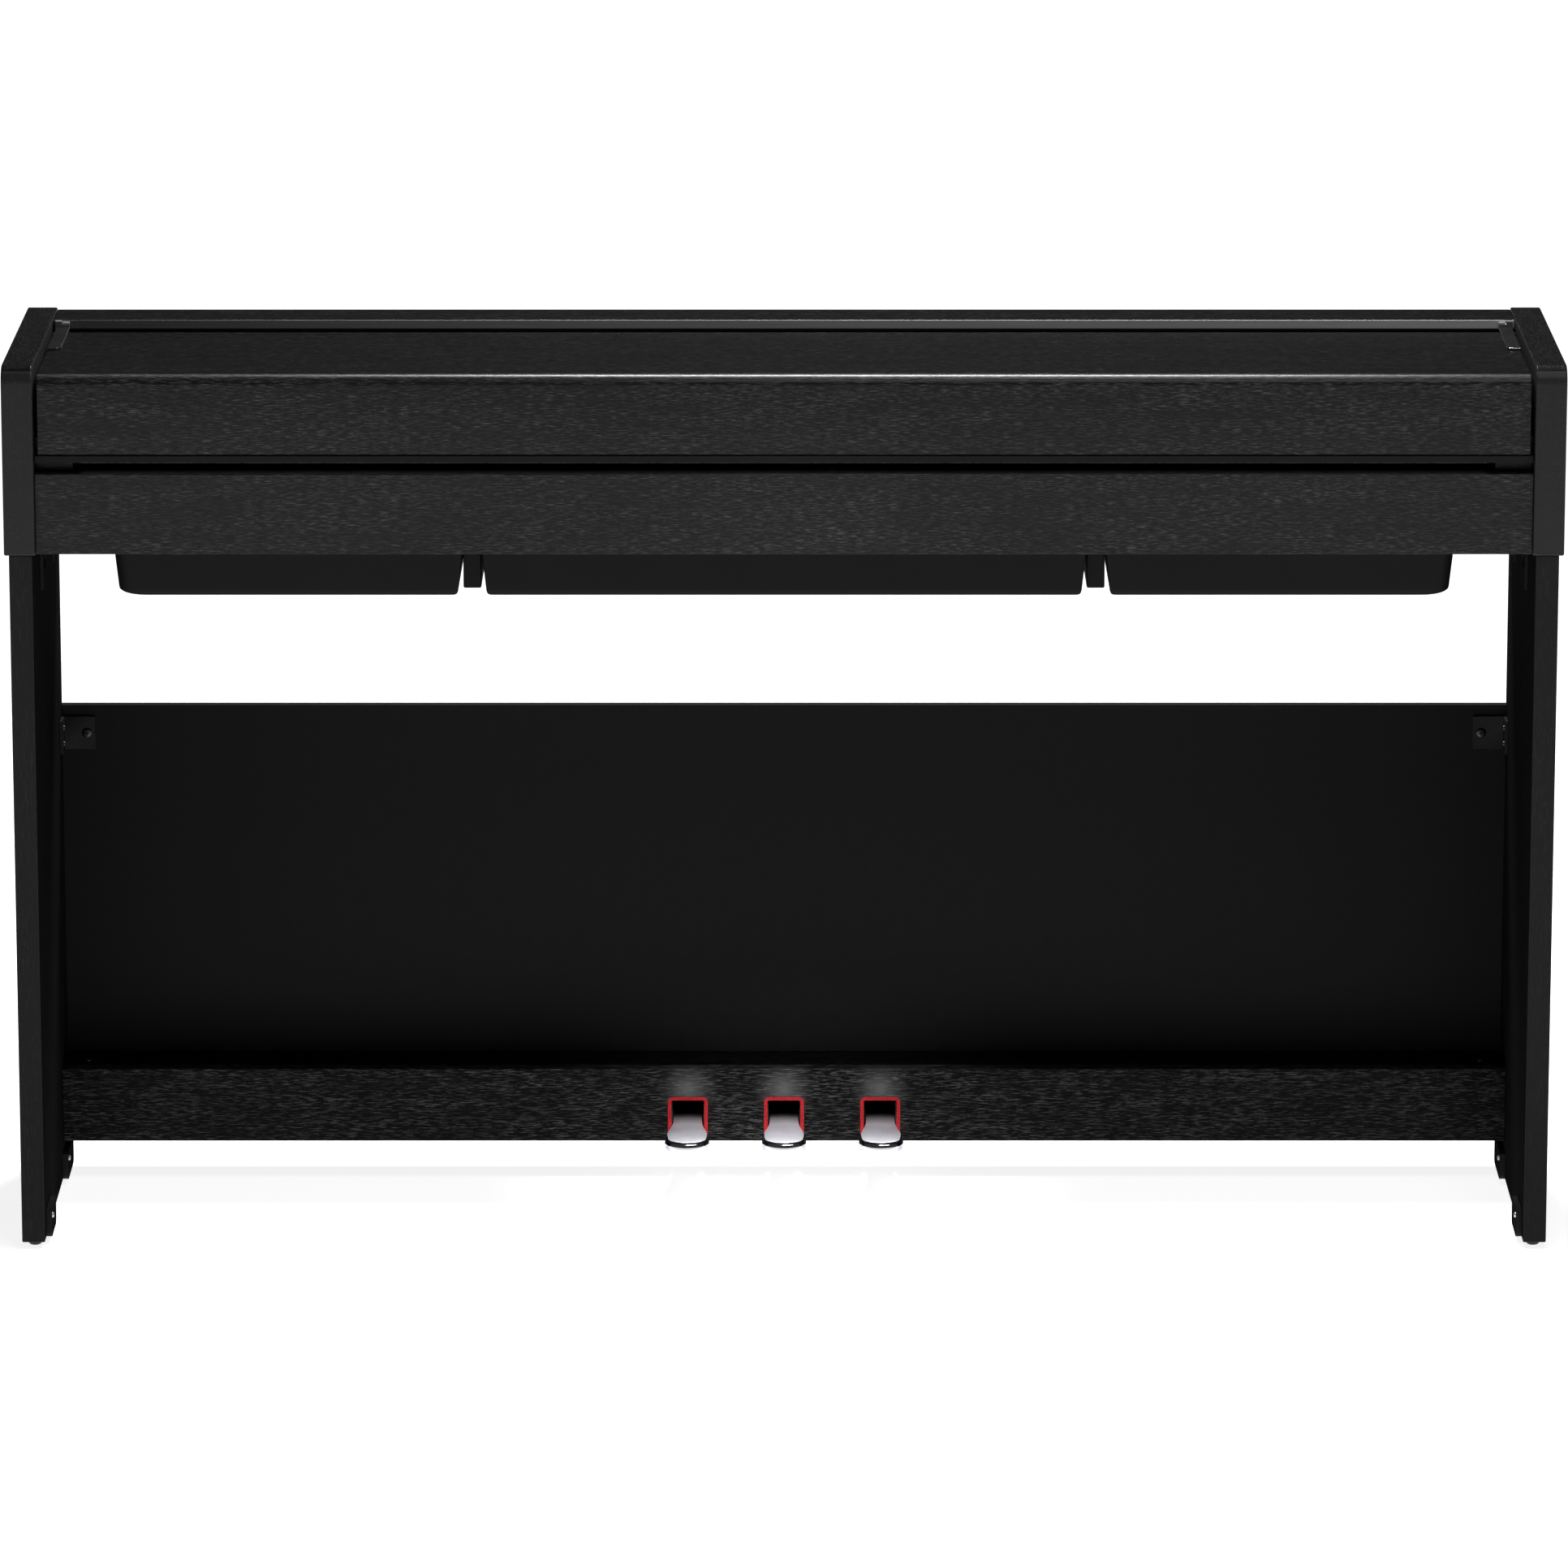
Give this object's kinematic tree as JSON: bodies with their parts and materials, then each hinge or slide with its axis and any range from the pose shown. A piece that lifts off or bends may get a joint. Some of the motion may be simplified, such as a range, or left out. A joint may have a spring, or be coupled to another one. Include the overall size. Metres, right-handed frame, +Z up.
{
  "type": "digital piano on stand",
  "caption": "Slim digital piano in a black cabinet stand with a folding lid, keys, pedals, speaker boxes and a thin backboard.",
  "frame": {"origin": "on the floor, under the middle of the case", "axes": "+X to the player's right, +Y from the player towards the back, +Z up"},
  "size_m": [1.353, 0.296, 0.792],
  "materials": {
    "case_foil": "satin",
    "leg_foil": "satin",
    "plain_board": "matte",
    "black_plastic": "matte",
    "black_steel": "satin",
    "bare_steel": "satin",
    "pedal_metal": "satin",
    "red_felt": "matte",
    "rubber": "matte",
    "foot_plastic": "satin",
    "cone": "matte",
    "circuit": "satin",
    "white_key": "satin",
    "black_key": "satin"
  },
  "bodies": {
    "stand": {"arm_left": "case_foil", "arm_right": "case_foil", "leg_left": "leg_foil", "leg_right": "leg_foil", "backboard": "plain_board", "rear_top_board": "case_foil", "keybed": "plain_board", "front_rail": "case_foil", "rear_cover": "plain_board", "filler_strip": "black_plastic", "hinge_blocks": "black_steel", "hinge_pins": "bare_steel", "speaker_box_left": "black_plastic", "speaker_box_right": "black_plastic", "middle_box": "black_plastic", "bridge_panels": "black_plastic", "speaker_drivers": "cone", "leg_brackets": "black_steel", "foot_brackets": "black_steel", "corner_brackets": "black_steel", "bracket_screws": "bare_steel", "glides": "foot_plastic", "pedal_box_front": "case_foil", "pedal_box_top": "case_foil", "pedal_bracket": "bare_steel", "pedal_felts": "red_felt", "pedal_axle": "bare_steel", "pedal_springs": "bare_steel", "key_frame": "bare_steel", "key_axle": "bare_steel", "key_felts": "red_felt", "key_blocks": "case_foil", "control_panel": "black_plastic", "circuit_board": "circuit", "power_inlet": "black_plastic", "lid_bumpers": "rubber"},
    "lid": {"lid": "case_foil", "hinge_leaves": "black_steel", "music_ledge": "case_foil", "flap_hinge_plates": "bare_steel"},
    "flap": {"flap": "case_foil", "flap_lip": "black_plastic", "flap_hinge_leaves": "bare_steel"},
    "power_button": {"power_button": "black_plastic"},
    "volume_knob": {"volume_knob": "black_plastic"},
    "soft_pedal": {"soft_pedal": "pedal_metal"},
    "sostenuto_pedal": {"sostenuto_pedal": "pedal_metal"},
    "damper_pedal": {"damper_pedal": "pedal_metal"},
    "keys_c": {"keys_c": "white_key"},
    "keys_c_sharp": {"keys_c_sharp": "black_key"},
    "keys_d": {"keys_d": "white_key"},
    "keys_d_sharp": {"keys_d_sharp": "black_key"},
    "keys_e": {"keys_e": "white_key"},
    "keys_f": {"keys_f": "white_key"},
    "keys_f_sharp": {"keys_f_sharp": "black_key"},
    "keys_g": {"keys_g": "white_key"},
    "keys_g_sharp": {"keys_g_sharp": "black_key"},
    "keys_a": {"keys_a": "white_key"},
    "keys_a_sharp": {"keys_a_sharp": "black_key"},
    "keys_b": {"keys_b": "white_key"}
  },
  "joints": [
    {"name": "lid_hinge", "type": "hinge", "parent": "stand", "child": "lid", "pos_m": [0, 0.09, 0.786], "axis": [-1, 0, 0], "range_deg": [0, 100]},
    {"name": "flap_fold", "type": "hinge", "parent": "lid", "child": "flap", "pos_m": [0, -0.128, 0.7655], "axis": [1, 0, 0], "range_deg": [0, 90]},
    {"name": "power_press", "type": "slide", "parent": "stand", "child": "power_button", "axis": [0, 0, -1], "range_m": [0, 0.0015], "stiffness_N_per_m": 800, "springref_m": -0.001},
    {"name": "volume_turn", "type": "hinge", "parent": "stand", "child": "volume_knob", "pos_m": [-0.56, 0.0405, 0.745], "axis": [0, 0, 1], "range_deg": [-135, 135]},
    {"name": "soft_pedal_press", "type": "hinge", "parent": "stand", "child": "soft_pedal", "pos_m": [-0.087, 0.114, 0.058], "axis": [1, 0, 0], "range_deg": [0, 5.3], "stiffness_Nm_per_rad": 10, "springref_deg": -5.73},
    {"name": "sostenuto_pedal_press", "type": "hinge", "parent": "stand", "child": "sostenuto_pedal", "pos_m": [0, 0.114, 0.058], "axis": [1, 0, 0], "range_deg": [0, 5.3], "stiffness_Nm_per_rad": 10, "springref_deg": -5.73},
    {"name": "damper_pedal_press", "type": "hinge", "parent": "stand", "child": "damper_pedal", "pos_m": [0.087, 0.114, 0.058], "axis": [1, 0, 0], "range_deg": [0, 5.3], "stiffness_Nm_per_rad": 10, "springref_deg": -5.73},
    {"name": "keys_c_press", "type": "hinge", "parent": "stand", "child": "keys_c", "pos_m": [0, 0.086, 0.71], "axis": [1, 0, 0], "range_deg": [0, 2.75], "stiffness_Nm_per_rad": 20, "springref_deg": -3.44},
    {"name": "keys_c_sharp_press", "type": "hinge", "parent": "stand", "child": "keys_c_sharp", "pos_m": [0, 0.086, 0.71], "axis": [1, 0, 0], "range_deg": [0, 2.75], "stiffness_Nm_per_rad": 20, "springref_deg": -3.44},
    {"name": "keys_d_press", "type": "hinge", "parent": "stand", "child": "keys_d", "pos_m": [0, 0.086, 0.71], "axis": [1, 0, 0], "range_deg": [0, 2.75], "stiffness_Nm_per_rad": 20, "springref_deg": -3.44},
    {"name": "keys_d_sharp_press", "type": "hinge", "parent": "stand", "child": "keys_d_sharp", "pos_m": [0, 0.086, 0.71], "axis": [1, 0, 0], "range_deg": [0, 2.75], "stiffness_Nm_per_rad": 20, "springref_deg": -3.44},
    {"name": "keys_e_press", "type": "hinge", "parent": "stand", "child": "keys_e", "pos_m": [0, 0.086, 0.71], "axis": [1, 0, 0], "range_deg": [0, 2.75], "stiffness_Nm_per_rad": 20, "springref_deg": -3.44},
    {"name": "keys_f_press", "type": "hinge", "parent": "stand", "child": "keys_f", "pos_m": [0, 0.086, 0.71], "axis": [1, 0, 0], "range_deg": [0, 2.75], "stiffness_Nm_per_rad": 20, "springref_deg": -3.44},
    {"name": "keys_f_sharp_press", "type": "hinge", "parent": "stand", "child": "keys_f_sharp", "pos_m": [0, 0.086, 0.71], "axis": [1, 0, 0], "range_deg": [0, 2.75], "stiffness_Nm_per_rad": 20, "springref_deg": -3.44},
    {"name": "keys_g_press", "type": "hinge", "parent": "stand", "child": "keys_g", "pos_m": [0, 0.086, 0.71], "axis": [1, 0, 0], "range_deg": [0, 2.75], "stiffness_Nm_per_rad": 20, "springref_deg": -3.44},
    {"name": "keys_g_sharp_press", "type": "hinge", "parent": "stand", "child": "keys_g_sharp", "pos_m": [0, 0.086, 0.71], "axis": [1, 0, 0], "range_deg": [0, 2.75], "stiffness_Nm_per_rad": 20, "springref_deg": -3.44},
    {"name": "keys_a_press", "type": "hinge", "parent": "stand", "child": "keys_a", "pos_m": [0, 0.086, 0.71], "axis": [1, 0, 0], "range_deg": [0, 2.75], "stiffness_Nm_per_rad": 20, "springref_deg": -3.44},
    {"name": "keys_a_sharp_press", "type": "hinge", "parent": "stand", "child": "keys_a_sharp", "pos_m": [0, 0.086, 0.71], "axis": [1, 0, 0], "range_deg": [0, 2.75], "stiffness_Nm_per_rad": 20, "springref_deg": -3.44},
    {"name": "keys_b_press", "type": "hinge", "parent": "stand", "child": "keys_b", "pos_m": [0, 0.086, 0.71], "axis": [1, 0, 0], "range_deg": [0, 2.75], "stiffness_Nm_per_rad": 20, "springref_deg": -3.44}
  ],
  "couplings": [
    {"joint": "flap_fold", "follows": "lid_hinge", "ratio": 0.9}
  ]
}
